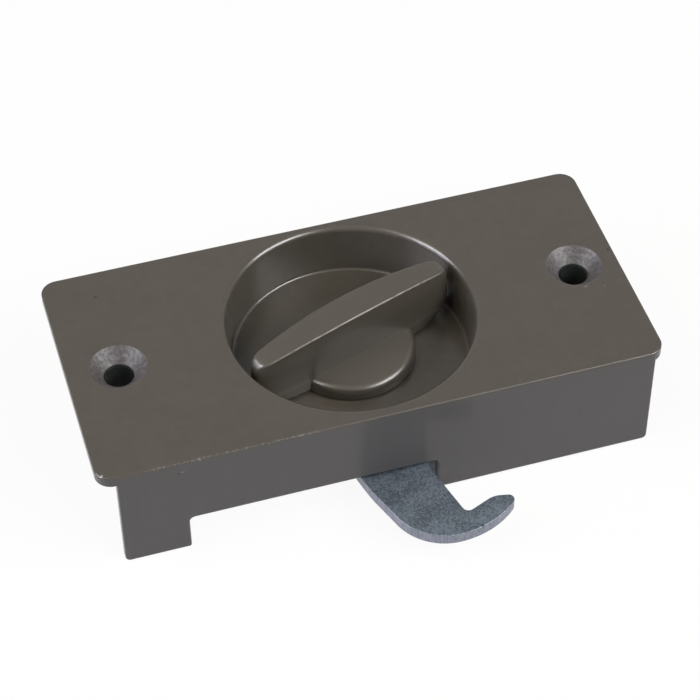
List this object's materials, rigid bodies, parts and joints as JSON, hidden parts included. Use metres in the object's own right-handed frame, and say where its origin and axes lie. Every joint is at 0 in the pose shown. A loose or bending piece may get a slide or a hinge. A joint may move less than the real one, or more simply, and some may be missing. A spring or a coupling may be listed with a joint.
{
  "type": "screen door latch",
  "caption": "Flush latch for a sliding screen door: painted die-cast case with a round finger recess, a thumb turn, and a plated steel hook that swings out through a notch in the front wall.",
  "frame": {"origin": "centre of the bounding box at the level of the walls' lower edges, with the hook thrown; the spindle axis is 0.56 mm to +X and 8.695 mm to +Y of it", "axes": "+X along the face plate, +Y from the notched front wall to the back wall, +Z out of the face plate along the spindle axis"},
  "size_m": [0.1016, 0.065, 0.0251],
  "materials": {
    "case_paint": "satin bronze paint with a fine orange peel over die-cast zinc",
    "turn_paint": "satin bronze paint, smoother than the case",
    "zinc_plate": "mottled dull zinc plate on stamped steel, brighter on the sheared edge",
    "spring_steel": "plain spring steel"
  },
  "bodies": {
    "case": {"case": "case_paint", "wave_washer": "spring_steel"},
    "turn": {"thumb_turn": "turn_paint", "hook": "zinc_plate", "flat_washer": "zinc_plate", "lock_washer": "spring_steel", "hook_screw": "zinc_plate"}
  },
  "joints": [
    {"name": "hook_swing", "type": "hinge", "parent": "case", "child": "turn", "pos_m": [0.00056, 0.00869, 0.0107], "axis": [0, 0, 1], "range_deg": [-90, 0]}
  ]
}
